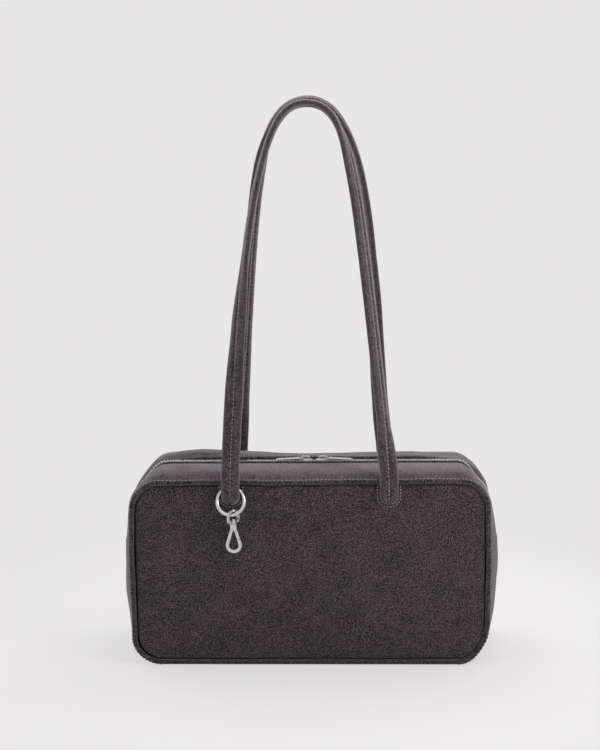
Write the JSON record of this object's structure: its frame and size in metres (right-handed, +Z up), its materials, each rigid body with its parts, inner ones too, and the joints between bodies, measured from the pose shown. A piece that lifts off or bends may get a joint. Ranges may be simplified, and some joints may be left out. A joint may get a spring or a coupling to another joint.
{
  "type": "bowler bag",
  "caption": "Zipped charcoal cloth bowler bag with crowned panels, long shoulder handles, a metal zip over the top, and a ring with a swivel snap hook on a handle end.",
  "frame": {"origin": "on the floor, under the centre of the body", "axes": "+X to the right seen from the front, +Y to the back, +Z up"},
  "size_m": [0.3378, 0.1233, 0.4999],
  "materials": {
    "cloth": "brushed melange canvas, matte",
    "lining": "plain weave, slight sheen",
    "tape": "woven tape, matte",
    "metal": "nickel plated, satin bright",
    "board": "matte board"
  },
  "bodies": {
    "bag": {"base_gusset": "cloth", "base_lining": "lining", "base_board": "board", "top_strip_front": "cloth", "top_strip_back": "cloth", "front_panel": "cloth", "front_lining": "lining", "front_welt": "cloth", "front_seam_binding": "lining", "back_panel": "cloth", "back_lining": "lining", "back_welt": "cloth", "back_seam_binding": "lining", "zip_tape_front": "tape", "zip_tape_back": "tape", "zip_teeth_front": "metal", "zip_teeth_back": "metal", "zip_stop_left": "metal", "zip_stop_right": "metal", "front_handle_end_left": "cloth", "front_handle_end_right": "cloth", "back_handle_end_left": "cloth", "back_handle_end_right": "cloth", "front_handle_patch_left": "cloth", "front_handle_patch_right": "cloth", "back_handle_patch_left": "cloth", "back_handle_patch_right": "cloth"},
    "front_loop": {"front_handle": "cloth"},
    "back_loop": {"back_handle": "cloth"},
    "slider_left": {"zip_slider_left": "metal"},
    "slider_right": {"zip_slider_right": "metal"},
    "pull_left": {"zip_pull_left": "metal"},
    "pull_right": {"zip_pull_right": "metal"},
    "ring": {"strap_ring": "metal"},
    "eye": {"swivel_eye": "metal"},
    "hook": {"snap_hook": "metal", "gate_pin": "metal", "gate_spring": "metal"},
    "gate": {"hook_gate": "metal"}
  },
  "joints": [
    {"name": "front_handle_swing", "type": "hinge", "parent": "bag", "child": "front_loop", "pos_m": [0, -0.0555, 0.175], "axis": [1, 0, 0], "range_deg": [0, 100]},
    {"name": "back_handle_swing", "type": "hinge", "parent": "bag", "child": "back_loop", "pos_m": [0, 0.0555, 0.175], "axis": [-1, 0, 0], "range_deg": [0, 100]},
    {"name": "zip_slider_left_travel", "type": "slide", "parent": "bag", "child": "slider_left", "axis": [-1, 0, 0], "range_m": [0, 0.115]},
    {"name": "zip_slider_right_travel", "type": "slide", "parent": "bag", "child": "slider_right", "axis": [1, 0, 0], "range_m": [0, 0.115]},
    {"name": "zip_pull_left_tilt", "type": "hinge", "parent": "slider_left", "child": "pull_left", "pos_m": [-0.00705, 0, 0.1774], "axis": [0, 1, 0], "range_deg": [0, 100]},
    {"name": "zip_pull_right_tilt", "type": "hinge", "parent": "slider_right", "child": "pull_right", "pos_m": [0.01305, 0, 0.1774], "axis": [0, -1, 0], "range_deg": [0, 100]},
    {"name": "ring_swing", "type": "hinge", "parent": "bag", "child": "ring", "pos_m": [-0.069, -0.05126, 0.163], "axis": [-1, 0, 0], "range_deg": [0, 40]},
    {"name": "eye_swing", "type": "hinge", "parent": "ring", "child": "eye", "pos_m": [-0.0666, -0.0589, 0.14104], "axis": [-1, 0, 0], "range_deg": [0, 40]},
    {"name": "hook_swivel", "type": "hinge", "parent": "eye", "child": "hook", "pos_m": [-0.0666, -0.0589, 0.13], "axis": [0, 0, 1], "continuous": true},
    {"name": "hook_gate_open", "type": "hinge", "parent": "hook", "child": "gate", "pos_m": [-0.06475, -0.0589, 0.12749], "axis": [0, 1, 0], "range_deg": [0, 22], "stiffness_Nm_per_rad": 0.0008, "springref_deg": -17.19}
  ]
}
